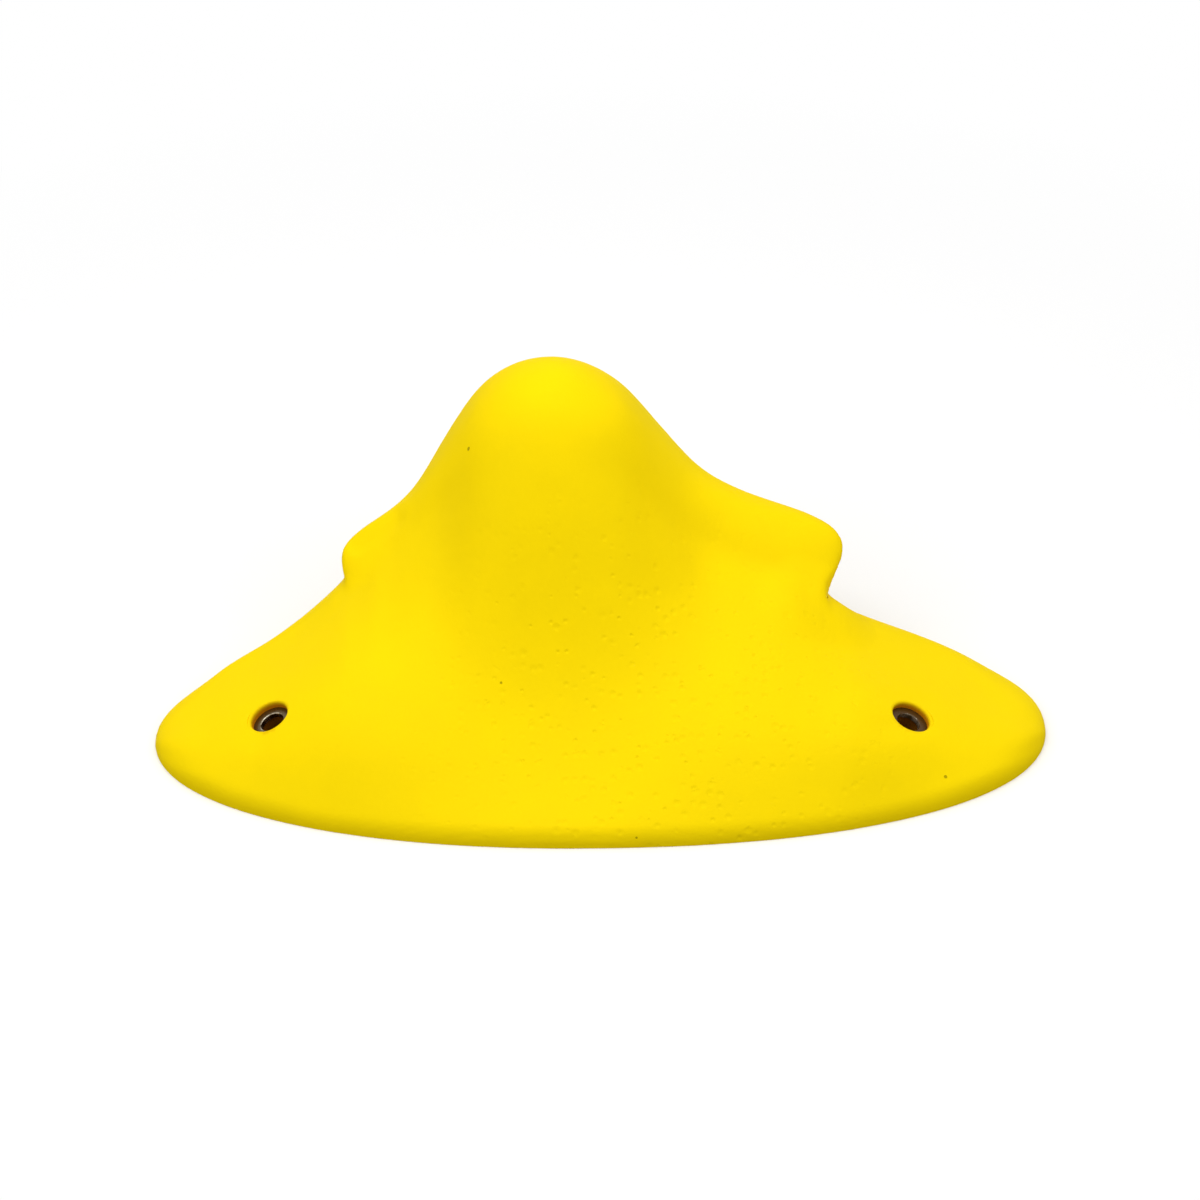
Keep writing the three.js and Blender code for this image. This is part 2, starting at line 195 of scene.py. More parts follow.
class HoldWasherSettings(bpy.types.PropertyGroup):
    """Sizes and colours of the cast-in washers"""

    # Painted shade: the steel is given a deep brown for the shade down the recess that a washer
    # lies in and reflects.
    shaded_steel_colour: bpy.props.FloatVectorProperty(
        name="Steel Colour",
        description="Colour of the tarnished zinc-plated steel",
        subtype="COLOR",
        size=3,
        min=0,
        max=1,
        default=(0.15, 0.11, 0.06),
    )
    # Painted glints: a light steel colour in patches round the bore, for the glints that the
    # bore's rounded edge catches.
    glint_colour: bpy.props.FloatVectorProperty(
        name="Glint Colour",
        description="Colour of the steel painted with glints, round the bore",
        subtype="COLOR",
        size=3,
        min=0,
        max=1,
        default=(0.66, 0.60, 0.47),
    )
    # Painted shade: a deep brown, mostly non-metallic sheet of colour over the washer outside the
    # bore, for the shade it lies in; on the right washer it reaches almost to the bore.
    washer_shade_colour: bpy.props.FloatVectorProperty(
        name="Washer Shade Colour",
        description="Colour of the thin film painted over the rim of a washer",
        subtype="COLOR",
        size=3,
        min=0,
        max=1,
        default=(0.075, 0.034, 0.005),
    )
    # How much steel round each bore the painted shade leaves uncovered.
    unshaded_width: bpy.props.FloatVectorProperty(
        name="Unshaded Width",
        description="Width of steel uncovered by the painted shade round the bore of the left and the right washer",
        subtype="XYZ",
        unit="LENGTH",
        size=2,
        min=0,
        max=3 * MM,
        precision=5,
        default=(1.0 * MM, 0.0 * MM),
    )
    bore: bpy.props.FloatProperty(
        name="Bore",
        description="Diameter of the screw's way through a washer",
        default=6.4 * MM,
        min=4 * MM,
        max=9 * MM,
        precision=5,
        unit="LENGTH",
    )
    edge_round: bpy.props.FloatProperty(
        name="Edge Round",
        description="Rounding of the stamped edges",
        default=0.25 * MM,
        min=0.05 * MM,
        max=0.5 * MM,
        precision=5,
        unit="LENGTH",
    )


class HoldStageSettings(bpy.types.PropertyGroup):
    """The camera, the lamps and the light of the room"""

    camera_target: bpy.props.FloatVectorProperty(
        name="Camera Target",
        description="Point that the camera looks at",
        subtype="XYZ",
        unit="LENGTH",
        size=3,
        precision=5,
        default=(-0.3 * MM, -5.797 * MM, 40.8 * MM),
    )
    camera_elevation: bpy.props.FloatProperty(
        name="Camera Elevation",
        description="Angle of the view above the floor",
        default=math.radians(35),
        min=0,
        max=math.radians(90),
        unit="ROTATION",
        subtype="ANGLE",
    )
    camera_distance: bpy.props.FloatProperty(
        name="Camera Distance",
        description="Distance from the camera to its target",
        default=1.6,
        min=0.3,
        max=10,
        unit="LENGTH",
    )
    frame_width: bpy.props.FloatProperty(
        name="Frame Width",
        description="Width that the picture takes in at the target",
        default=319.5 * MM,
        min=0.05,
        max=2,
        precision=5,
        unit="LENGTH",
    )
    overhead_power: bpy.props.FloatProperty(
        name="Overhead Power",
        description="Power of the large overhead lamp",
        default=2.0,
        min=0,
        max=500,
        unit="POWER",
    )
    left_power: bpy.props.FloatProperty(
        name="Left Power",
        description="Power of the soft lamp at the left",
        default=2.3,
        min=0,
        max=500,
        unit="POWER",
    )
    right_power: bpy.props.FloatProperty(
        name="Right Power",
        description="Power of the soft lamp at the right",
        default=1.95,
        min=0,
        max=500,
        unit="POWER",
    )
    room_light: bpy.props.FloatProperty(
        name="Room Light",
        description="Strength of the even light from all round",
        default=0.57,
        min=0,
        max=2,
    )


# Shader building

def set_inputs(node, values):
    """Sets a node's inputs by their names, with the spaces in them written as _"""
    for name, value in values.items():
        node.inputs[name.replace("_", " ")].default_value = value


def feed(tree, value, socket):
    """Links an output to a socket, or sets the socket to a plain value"""
    if isinstance(value, bpy.types.NodeSocket):
        tree.links.new(value, socket)
    else:
        socket.default_value = value


def node_in(tree, kind, label="", **inputs):
    """One shader node with the values of its inputs"""
    node = tree.nodes.new(kind)
    node.label = label
    set_inputs(node, inputs)
    return node


def math_node(tree, operation, first, second, label="", third=0.0):
    """A Math node on two or three values, each a socket or a number"""
    node = node_in(tree, "ShaderNodeMath", label)
    node.operation = operation
    for value, socket in zip((first, second, third), node.inputs):
        feed(tree, value, socket)
    return node.outputs["Value"]


def vector_node(tree, operation, vector, label="", second=None):
    """A Vector Math node on one linked vector and, where it takes one, a plain second"""
    node = node_in(tree, "ShaderNodeVectorMath", label)
    node.operation = operation
    tree.links.new(vector, node.inputs[0])
    if second is not None:
        node.inputs[1].default_value = second
    return node.outputs


def spread(tree, value, low, high, to_low=0.0, to_high=1.0):
    """A Map Range node that clamps a value from one span to another"""
    node = node_in(
        tree, "ShaderNodeMapRange", From_Min=low, From_Max=high, To_Min=to_low, To_Max=to_high)
    tree.links.new(value, node.inputs["Value"])
    return node.outputs["Result"]


def texture(tree, kind, label, vector, scale, **inputs):
    """A texture's outputs, with its scale in waves to the metre, a socket or a number"""
    node = node_in(tree, kind, label, **inputs)
    tree.links.new(vector, node.inputs["Vector"])
    feed(tree, scale, node.inputs["Scale"])
    return node.outputs


def noise_value(tree, label, vector, scale, **inputs):
    """The value of a Noise Texture"""
    return texture(tree, "ShaderNodeTexNoise", label, vector, scale, **inputs)["Fac"]


def scattered_cells(tree, label, vector, scale):
    """The distance to the middle of the nearest cell, and two chance numbers of that cell"""
    cells = texture(tree, "ShaderNodeTexVoronoi", label, vector, scale)
    chances = tree.nodes.new("ShaderNodeSeparateColor")
    tree.links.new(cells["Color"], chances.inputs["Color"])
    return cells["Distance"], chances.outputs["Red"], chances.outputs["Green"]


def new_group(name, inputs, outputs):
    """An empty shader node group with a vector input, number inputs and number outputs"""
    group = bpy.data.node_groups.new(name, "ShaderNodeTree")
    new_socket = group.interface.new_socket
    new_socket(name="Vector", in_out="INPUT", socket_type="NodeSocketVector")
    for socket_name, default in inputs.items():
        socket = new_socket(name=socket_name, in_out="INPUT", socket_type="NodeSocketFloat")
        socket.default_value = default
    for socket_name in outputs:
        new_socket(name=socket_name, in_out="OUTPUT", socket_type="NodeSocketFloat")
    enter = group.nodes.new("NodeGroupInput")
    leave = group.nodes.new("NodeGroupOutput")
    return group, enter.outputs, leave.inputs


def cast_grain_group():
    """The grain of a cast skin: fine dimples and scattered dents over softer unevenness"""
    coarse_to_fine = 0.28
    dented_cells = 0.45
    smallest_dent = 0.25
    largest_dent = 0.65
    group, given, result = new_group(
        "Cast Grain",
        {"Fine Scale": 1500.0, "Coarse Share": 0.8, "Dents": 1.0},
        ("Height", "Mottle"),
    )
    vector = given["Vector"]
    fine = noise_value(
        group, "fine dimples", vector, given["Fine Scale"], Detail=3.0, Roughness=0.6)
    coarse_scale = math_node(group, "MULTIPLY", given["Fine Scale"], coarse_to_fine)
    coarse = noise_value(group, "soft unevenness", vector, coarse_scale, Detail=2.0)
    broad = math_node(group, "MULTIPLY", coarse, given["Coarse Share"])
    height = math_node(group, "ADD", fine, broad)
    distance, choice, size = scattered_cells(group, "dent places", vector, coarse_scale)
    chosen = math_node(group, "LESS_THAN", choice, dented_cells, "nearly half the cells")
    reach = spread(group, size, low=0, high=1, to_low=smallest_dent, to_high=largest_dent)
    bowl = node_in(group, "ShaderNodeMapRange", "bowl of a dent", To_Min=1.0, To_Max=0.0)
    bowl.interpolation_type = "SMOOTHSTEP"
    group.links.new(reach, bowl.inputs["From Max"])
    group.links.new(distance, bowl.inputs["Value"])
    dent = math_node(group, "MULTIPLY", chosen, bowl.outputs["Result"])
    sunk = math_node(group, "MULTIPLY", dent, given["Dents"])
    group.links.new(math_node(group, "SUBTRACT", height, sunk), result["Height"])
    cloud = noise_value(group, "mottling", vector, scale=55.0, Detail=3.0, Roughness=0.55)
    group.links.new(spread(group, cloud, low=0.3, high=0.7), result["Mottle"])
    return group


def pinhole_group():
    """Sparse pinholes left by bubbles in the casting"""
    smallest_bubble = 0.4
    group, given, result = new_group(
        "Pinholes", {"Scale": 110.0, "Share": 0.08, "Radius": 0.05}, ("Mask",))
    distance, choice, size = scattered_cells(
        group, "bubble places", given["Vector"], given["Scale"])
    chosen = math_node(group, "LESS_THAN", choice, given["Share"], "few cells")
    bubble = math_node(group, "ADD", size, smallest_bubble)
    radius = math_node(group, "MULTIPLY", given["Radius"], bubble)
    inside = math_node(group, "LESS_THAN", distance, radius, "inside a bubble")
    group.links.new(math_node(group, "MULTIPLY", chosen, inside), result["Mask"])
    return group


def grinding_group():
    """Fine crossed scratches from flat grinding"""
    stretched = (0.03, 1, 1)
    group, given, result = new_group("Grinding Marks", {"Scale": 900.0}, ("Height",))
    strokes = []
    for turn, label in ((0.35, "first strokes"), (-0.9, "crossing strokes")):
        lay = node_in(
            group, "ShaderNodeMapping", label, Rotation=(0, 0, turn), Scale=stretched)
        group.links.new(given["Vector"], lay.inputs["Vector"])
        strokes.append(
            noise_value(group, label, lay.outputs["Vector"], given["Scale"], Detail=2.0))
    group.links.new(math_node(group, "MAXIMUM", *strokes), result["Height"])
    return group


def shared_group(name):
    """A node group by name, built the first time that a material asks for it"""
    makers = {
        "Cast Grain": cast_grain_group,
        "Pinholes": pinhole_group,
        "Grinding Marks": grinding_group,
    }
    return bpy.data.node_groups.get(name) or makers[name]()


def place_group(tree, name, vector, **inputs):
    """A shared node group in a material, fed with its coordinates and values"""
    node = tree.nodes.new("ShaderNodeGroup")
    node.node_tree = shared_group(name)
    tree.links.new(vector, node.inputs["Vector"])
    set_inputs(node, inputs)
    return node


def new_material(name, **shader_inputs):
    """A material with its shader, and the coordinates of the finished piece"""
    material = bpy.data.materials.new(name)
    material.use_nodes = True
    tree = material.node_tree
    shader = tree.nodes["Principled BSDF"]
    set_inputs(shader, shader_inputs)
    place = tree.nodes.new("ShaderNodeTexCoord").outputs["Object"]
    return material, tree, shader, place


def tint(tree, factor, first, second):
    """A colour between two by a factor, each a socket or a plain colour"""
    mix = tree.nodes.new("ShaderNodeMix")
    mix.data_type = "RGBA"
    tree.links.new(factor, mix.inputs["Factor"])
    for colour, socket in ((first, mix.inputs[6]), (second, mix.inputs[7])):
        linked = isinstance(colour, bpy.types.NodeSocket)
        feed(tree, colour if linked else (*colour, 1), socket)
    return mix.outputs[2]


def scaled(colour, share):
    """A colour made darker or lighter"""
    return tuple(min(part * share, 1) for part in colour)


def pitted(tree, pits, colour, pit_shade, height, depth):
    """A colour with painted shade and a height lowered inside the pinholes"""
    mask = pits.outputs["Mask"]
    sunk = math_node(tree, "MULTIPLY", mask, depth, "pinhole depth")
    return tint(tree, mask, colour, pit_shade), math_node(tree, "SUBTRACT", height, sunk)


def bump(tree, height, depth, shader):
    """A bump of a given depth in metres on a shader"""
    node = node_in(tree, "ShaderNodeBump", Distance=depth, Strength=1.0)
    tree.links.new(height, node.inputs["Height"])
    tree.links.new(node.outputs["Normal"], shader.inputs["Normal"])


def skin_material(name, settings, fine_scale, pinhole_share, roughness):
    """Cast polyurethane skin with grain, dents, mottling and pinholes, and painted shade in the
    pinholes and down the screw holes
    """
    colour = tuple(settings.skin_colour)
    mottle_dark = scaled(colour, 0.975)
    mottle_light = scaled(colour, 1.01)
    # Painted shade inside the pinholes: half the skin's colour.
    pinhole_shade = scaled(colour, 0.5)
    pinhole_depth = 3.0
    dented_reach = 30 * MM
    even_reach = 75 * MM
    roughness_play = 0.05
    material, tree, shader, place = new_material(name, Specular_IOR_Level=0.025)
    away = vector_node(
        tree, "DISTANCE", place, "from the low middle of the ramp", settings.dented_middle)
    dents = spread(tree, away["Value"], dented_reach, even_reach, to_low=4.6, to_high=0.4)
    grain = place_group(tree, "Cast Grain", place, Fine_Scale=fine_scale)
    tree.links.new(dents, grain.inputs["Dents"])
    mottle = grain.outputs["Mottle"]
    pits = place_group(tree, "Pinholes", place, Share=pinhole_share)
    mottled = tint(tree, mottle, mottle_dark, mottle_light)
    skin, height = pitted(
        tree, pits, mottled, pinhole_shade, grain.outputs["Height"], pinhole_depth)
    # Painted shade down each screw hole: with depth the skin turns to the recess shade colour, and
    # below the washer to the shaft shade colour.
    depth = node_in(tree, "ShaderNodeAttribute", "down the screw hole")
    depth.attribute_name = DEPTH_LAYER
    recess_shade = spread(tree, depth.outputs["Fac"], low=0.0, high=0.65)
    deepened = tint(tree, recess_shade, skin, tuple(settings.recess_shade_colour))
    shaft_shade = spread(tree, depth.outputs["Fac"], low=0.95, high=1.2)
    shaded_skin = tint(tree, shaft_shade, deepened, tuple(settings.shaft_shade_colour))
    tree.links.new(shaded_skin, shader.inputs["Base Color"])
    rough = spread(tree, mottle, 0, 1, roughness - roughness_play, roughness + roughness_play)
    tree.links.new(rough, shader.inputs["Roughness"])
    bump(tree, height, settings.grain_depth, shader)
    return material


def ground_material(settings):
    """The back where it is ground flat: paler, dull and finely scratched"""
    colour = tuple(settings.ground_colour)
    furrow_dark = scaled(colour, 0.88)
    ridge_light = scaled(colour, 1.1)
    # Painted shade inside the pinholes: half the ground back's colour.
    pinhole_shade = scaled(colour, 0.5)
    pinhole_depth = 2.0
    scratch_depth = 0.04 * MM
    material, tree, shader, place = new_material("ground_back")
    marks = place_group(tree, "Grinding Marks", place).outputs["Height"]
    pits = place_group(tree, "Pinholes", place, Share=0.3, Scale=160.0)
    scratched = tint(tree, marks, furrow_dark, ridge_light)
    ground, height = pitted(tree, pits, scratched, pinhole_shade, marks, pinhole_depth)
    tree.links.new(ground, shader.inputs["Base Color"])
    rough = spread(tree, marks, low=0.3, high=0.8, to_low=0.7, to_high=0.9)
    tree.links.new(rough, shader.inputs["Roughness"])
    bump(tree, height, scratch_depth, shader)
    return material


def steel_material(name, seat, settings, unshaded_width):
    """Steel darkened as painted shade, with painted glints in patches round the bore and a deeper
    sheet of painted shade further out
    """
    colour = tuple(settings.shaded_steel_colour)
    shaded_spangle_dark = scaled(colour, 0.7)
    shaded_spangle_light = scaled(colour, 1.15)
    bore = settings.bore / 2
    glint_start = bore + 0.1 * MM
    glint_end = bore + 0.5 * MM
    # Painted shade begins past the uncovered width round the bore.
    shade_start = bore + unshaded_width + 0.25 * MM
    shade_end = shade_start + 0.3 * MM
    raggedness = 0.8 * MM
    ring_depth = 0.012 * MM
    material, tree, shader, place = new_material(name, Specular_IOR_Level=0.2)
    flatten = seat.matrix(seat.middle).inverted()
    centring = node_in(
        tree,
        "ShaderNodeMapping",
        "centre on the washer",
        Location=flatten.translation,
        Rotation=flatten.to_euler(),
    )
    tree.links.new(place, centring.inputs["Vector"])
    flat = vector_node(
        tree, "MULTIPLY", centring.outputs["Vector"], "onto the washer's face", (1, 1, 0))
    radius = vector_node(tree, "LENGTH", flat["Vector"], "from the washer's middle")["Value"]
    rings = node_in(tree, "ShaderNodeTexNoise", "rubbed rings", Scale=2600.0, Detail=3.0)
    rings.noise_dimensions = "1D"
    tree.links.new(radius, rings.inputs["W"])
    spangle = noise_value(
        tree, "zinc spangle", place, scale=900.0, Detail=3.0, Roughness=0.6)
    # Painted shade: the deep brown steel colour, varied by the zinc spangle.
    shadowed = tint(tree, spangle, shaded_spangle_dark, shaded_spangle_light)
    # Painted glints: the steel is lightened in patches just round the bore.
    glint_ring = spread(tree, radius, glint_start, glint_end, to_low=1, to_high=0)
    glints = noise_value(tree, "wear in patches", place, scale=420.0)
    patches = spread(tree, glints, low=0.45, high=0.62)
    rubbed = math_node(tree, "MULTIPLY", glint_ring, patches, "rubbed patches")
    glinted = tint(tree, rubbed, shadowed, tuple(settings.glint_colour))
    # Painted shade: a deep brown sheet of colour with a ragged edge over the outer washer, where
    # the steel turns mostly non-metallic.
    ragged = math_node(
        tree, "MULTIPLY_ADD", spangle, raggedness, "ragged edge of the film", third=radius)
    shade = spread(tree, ragged, shade_start, shade_end)
    shaded_washer = tint(tree, shade, glinted, tuple(settings.washer_shade_colour))
    tree.links.new(shaded_washer, shader.inputs["Base Color"])
    bare_metal = spread(tree, shade, low=0, high=1, to_low=1.0, to_high=0.1)
    tree.links.new(bare_metal, shader.inputs["Metallic"])
    rough = spread(tree, spangle, low=0.3, high=0.7, to_low=0.24, to_high=0.42)
    tree.links.new(rough, shader.inputs["Roughness"])
    bump(tree, math_node(tree, "ADD", rings.outputs["Fac"], spangle), ring_depth, shader)
    return material


# Modelling

def merged_copy(node):
    """A bmesh copy of a frame node with its loose triangles joined up"""
    shape = bmesh.new()
    shape.from_mesh(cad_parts[node].data)
    bmesh.ops.remove_doubles(shape, verts=shape.verts, dist=MERGE_DISTANCE)
    return shape


def as_mesh(shape, name):
    """A mesh from a bmesh that is no longer needed"""
    mesh = bpy.data.meshes.new(name)
    shape.to_mesh(mesh)
    shape.free()
    return mesh


def placed(name, data):
    """An object in the scene from its mesh, lamp or camera data"""
    item = bpy.data.objects.new(name, data)
    bpy.context.scene.collection.objects.link(item)
    return item


def evaluated(shape, name, add_modifiers):
    """A bmesh taken through modifiers and back"""
    blank = placed(name, as_mesh(shape, name))
    add_modifiers(blank)
    graph = bpy.context.evaluated_depsgraph_get()
    result = bmesh.new()
    result.from_object(blank, graph)
    bpy.data.meshes.remove(blank.data)
    return result


def open_edges(shape):
    """The edges round the openings of a shape"""
    return [edge for edge in shape.edges if edge.is_boundary]


def spun(profile, steps, ring=False):
    """A solid of revolution round +Z from [radius, height] points, closed up for a ring"""
    shape = bmesh.new()
    verts = [shape.verts.new((radius, 0, height)) for radius, height in profile]
    pairs = list(zip(verts, verts[1:]))
    if ring:
        pairs.insert(0, (verts[-1], verts[0]))
    edges = [shape.edges.new(pair) for pair in pairs]
    bmesh.ops.spin(
        shape,
        geom=[*verts, *edges],
        axis=(0, 0, 1),
        cent=(0, 0, 0),
        angle=math.tau,
        steps=steps,
        use_merge=True,
    )
    bmesh.ops.remove_doubles(shape, verts=shape.verts, dist=MERGE_DISTANCE)
    bmesh.ops.recalc_face_normals(shape, faces=shape.faces)
    return shape


def finished_piece(shape, name, sharp_angle):
    """A bmesh as a smooth-shaded object with its sharp edges kept crisp"""
    for face in shape.faces:
        face.smooth = True
    for edge in shape.edges:
        edge.smooth = edge.calc_face_angle(0) < sharp_angle
    return placed(name, as_mesh(shape, name))


class Seat:
    """Where a washer lies: its middle, its axis out of the face, and its radius and thickness"""

    def __init__(self, node):
        shape = merged_copy(node)
        low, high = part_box(node)
        self.middle = (low + high) / 2
        flat = max(shape.faces, key=lambda face: face.calc_area())
        self.axis = flat.normal * math.copysign(1, flat.normal.z)
        heights = [(vert.co - self.middle).dot(self.axis) for vert in shape.verts]
        self.thickness = max(heights) - min(heights)
        self.radius = max(self.from_axis(vert.co) for vert in shape.verts)
        shape.free()

    def from_axis(self, point):
        """Distance of a point from the axis"""
        away = point - self.middle
        return (away - self.axis * away.dot(self.axis)).length

    def matrix(self, origin):
        """The transform that lays a piece made round +Z on the axis, from a given origin"""
        return Matrix.Translation(origin) @ self.axis.to_track_quat("Z", "Y").to_matrix().to_4x4()


# The cast body

# Places of the body's materials after that of its skin, which is the first
GROUND_PLACE = 1
HOLLOW_PLACE = 2

# Each stroke has its start and end on the plan, its reach and its height, in mm
THUMB_STROKES = {
    "foot of the right lobe": ((55, 10), (62, 12), 15, 3.2),
    "brow of the right lobe": ((31, 28), (46, 20), 14, 0.7),
    "right flank of the horn": ((6, 26), (14, 10), 17, 1.2),
    "groove of the left lobe": ((-66, 28.5), (-56, 31), 5, -1.2),
}


def cleared_blank(shape, seats):
    """The body without its screw holes and ground back, and with its rims carried down"""
    clear_radius = 7.7 * MM
    on_back = 0.01 * MM
    carried_down = 4 * MM
    at_holes = [
        vert for vert in shape.verts
        if any(seat.from_axis(vert.co) < clear_radius for seat in seats)
    ]
    bmesh.ops.delete(shape, geom=at_holes, context="VERTS")
    back = [face for face in shape.faces if all(vert.co.z < on_back for vert in face.verts)]
    bmesh.ops.delete(shape, geom=back, context="FACES")
    hole_rims = [edge for edge in open_edges(shape) if edge.verts[0].co.z > on_back]
    bmesh.ops.holes_fill(shape, edges=hole_rims, sides=0)
    bmesh.ops.join_triangles(
        shape,
        faces=shape.faces,
        angle_face_threshold=math.radians(50),
        angle_shape_threshold=math.radians(70),
    )
    for _ in range(2):
        carried = bmesh.ops.extrude_edge_only(shape, edges=open_edges(shape))["geom"]
        moved = [part for part in carried if isinstance(part, bmesh.types.BMVert)]
        bmesh.ops.translate(shape, verts=moved, vec=(0, 0, -carried_down))
    bmesh.ops.triangle_fill(shape, edges=open_edges(shape), use_beauty=True)
    bmesh.ops.recalc_face_normals(shape, faces=shape.faces)
    return shape


def smooth_and_remesh(blank, detail):
    """Subdivision to round the facets, then an even net of small faces"""
    rounding_levels = 2
    rounding = blank.modifiers.new("rounding", "SUBSURF")
    rounding.levels = rounding_levels
    rounding.render_levels = rounding_levels
    net = blank.modifiers.new("even net", "REMESH")
    net.mode = "VOXEL"
    net.voxel_size = detail


def relax(shape):
    """Takes out small ripples and keeps the size, by smoothing forwards and back"""
    rounds = 4
    forwards = 0.5
    back = -0.51
    for factor in (forwards, back) * rounds:
        bmesh.ops.smooth_vert(
            shape,
            verts=shape.verts,
            factor=factor,
            use_axis_x=True,
            use_axis_y=True,
            use_axis_z=True,
        )


def press_strokes(shape):
    """Raises or sinks the outer skin along short soft strokes, as a thumb does in clay"""
    full_from_slope = 0.4
    down = Vector((0, 0, -1))
    above = 2 * CAD_HIGH.z
    shape.normal_update()
    tree = BVHTree.FromBMesh(shape)
    skin = [vert for vert in shape.verts if vert.normal.z > 0]
    moves = []
    for start, end, reach, height in THUMB_STROKES.values():
        ends = [
            tree.ray_cast(Vector((x * MM, y * MM, above)), down)[0] for x, y in (start, end)]
        for vert in skin:
            along = intersect_point_line(vert.co, *ends)[1]
            nearest = ends[0].lerp(ends[1], min(max(along, 0), 1))
            share = (vert.co - nearest).length / (reach * MM)
            if share < 1:
                upward = min(vert.normal.z / full_from_slope, 1)
                moves.append((vert, height * MM * upward * (1 - share * share) ** 2))
    for vert, rise in moves:
        vert.co.z += rise


def make_uneven(shape, depth):
    """Moves the skin slightly in and out, as a shape carved by hand does"""
    broad_waves = 70
    small_waves = 190
    evenly = 0.6
    broad_share = 0.6
    small_share = 0.4
    shape.normal_update()
    for vert in shape.verts:
        broad = noise.noise(vert.co * broad_waves)
        small = noise.noise(vert.co * small_waves)
        vert.co -= vert.normal * depth * (evenly + broad_share * broad + small_share * small)


def grind_back(shape):
    """Cuts the body off flat at the wall's plane and closes the cut"""
    bmesh.ops.bisect_plane(
        shape,
        geom=[*shape.verts, *shape.edges, *shape.faces],
        dist=MERGE_DISTANCE,
        plane_co=(0, 0, 0),
        plane_no=(0, 0, 1),
        clear_inner=True,
    )
    rims = open_edges(shape)
    mark_hollow(rims)
    closed = bmesh.ops.triangle_fill(shape, edges=rims, use_beauty=True, normal=(0, 0, -1))
    for part in closed["geom"]:
        if isinstance(part, bmesh.types.BMFace):
            part.material_index = GROUND_PLACE


def mark_hollow(rims):
    """Gives the inside of the hollow its own material, spreading from its rim"""
    inner_rim = min(
        rims, key=lambda edge: abs(edge.verts[0].co.x) + abs(edge.verts[0].co.y))
    found = {inner_rim.link_faces[0]}
    fresh = set(found)
    while fresh:
        fresh = {
            neighbour
            for face in fresh
            for edge in face.edges
            for neighbour in edge.link_faces
        } - found
        found |= fresh
    for face in found:
        face.material_index = HOLLOW_PLACE


def hole_cutter(settings, seat, mouth):
    """The cutter for one screw hole: bores, washer groove, recess and rounded mouth in one"""
    over = 5 * MM
    arc_steps = 8
    turn_steps = 64
    rounding = settings.recess_mouth_round
    recess = settings.recess_diameter / 2
    through = settings.through_diameter / 2
    groove = seat.radius + settings.washer_gap
    below = (mouth - seat.middle).length
    groove_low = -below - seat.thickness / 2 - settings.washer_gap
    groove_high = -below + seat.thickness / 2 + settings.washer_gap
    bottom = -mouth.z / seat.axis.z - over
    profile = [
        (0, bottom),
        (through, bottom),
        (through, groove_low),
        (groove, groove_low),
        (groove, groove_high),
        (recess, groove_high),
    ]
    for step in range(arc_steps + 1):
        angle = step / arc_steps * math.pi / 2
        profile.append((
            recess + rounding * (1 - math.cos(angle)),
            rounding * (math.sin(angle) - 1),
        ))
    profile += [(recess + rounding, over), (0, over)]
    mesh = as_mesh(spun(profile, turn_steps), "hole")
    mesh.transform(seat.matrix(mouth))
    return mesh


def drill(blank, cutters):
    """Boolean cuts with a list of cutter meshes"""
    for mesh in cutters:
        cut = blank.modifiers.new(mesh.name, "BOOLEAN")
        cut.operation = "DIFFERENCE"
        cut.solver = "MANIFOLD"
        cut.object = placed(mesh.name, mesh)


def mark_depth(shape, settings, holes):
    """Writes how deep each point of a screw hole lies: 0 at its mouth, 1 at its washer"""
    layer = shape.verts.layers.float.new(DEPTH_LAYER)
    mouth_radius = settings.recess_diameter / 2 + settings.recess_mouth_round
    for seat, mouth in holes:
        floor = (mouth - seat.middle).length - seat.thickness / 2
        for vert in shape.verts:
            depth = (mouth - vert.co).dot(seat.axis)
            if seat.from_axis(vert.co) < mouth_radius + settings.washer_gap and depth > 0:
                vert[layer] = depth / floor


class HOLD_OT_cast_body(bpy.types.Operator):
    """Builds the cast body with its hollow ground back and two drilled screw holes"""

    bl_idname = "hold.cast_body"
    bl_label = "Cast Body"

    def execute(self, context):
        settings = context.scene.hold_body
        seats = [Seat(node) for node in WASHERS]
        blank = cleared_blank(merged_copy("hold_body"), seats)
        shape = evaluated(
            blank, "blank", lambda item: smooth_and_remesh(item, settings.skin_detail))
        relax(shape)
        press_strokes(shape)
        make_uneven(shape, settings.unevenness)
        tree = BVHTree.FromBMesh(shape)
        grind_back(shape)
        holes = []
        for seat in seats:
            outside = seat.middle + seat.axis * CAD_HIGH.z
            holes.append((seat, tree.ray_cast(outside, -seat.axis)[0]))
        cutters = [hole_cutter(settings, seat, mouth) for seat, mouth in holes]
        shape = evaluated(shape, "drilled", lambda item: drill(item, cutters))
        mark_depth(shape, settings, holes)
        for mesh in cutters:
            bpy.data.meshes.remove(mesh)
        body = finished_piece(shape, "cast_body", sharp_angle=math.radians(38))
        skin = skin_material(
            "cast_skin", settings, fine_scale=1500.0, pinhole_share=0.14, roughness=0.62)
        hollow = skin_material(
            "hollow_skin", settings, fine_scale=1100.0, pinhole_share=0.35, roughness=0.5)
        for material in (skin, ground_material(settings), hollow):
            body.data.materials.append(material)
        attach(body, "root")
        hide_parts("hold_body")
        return {"FINISHED"}


# The washers

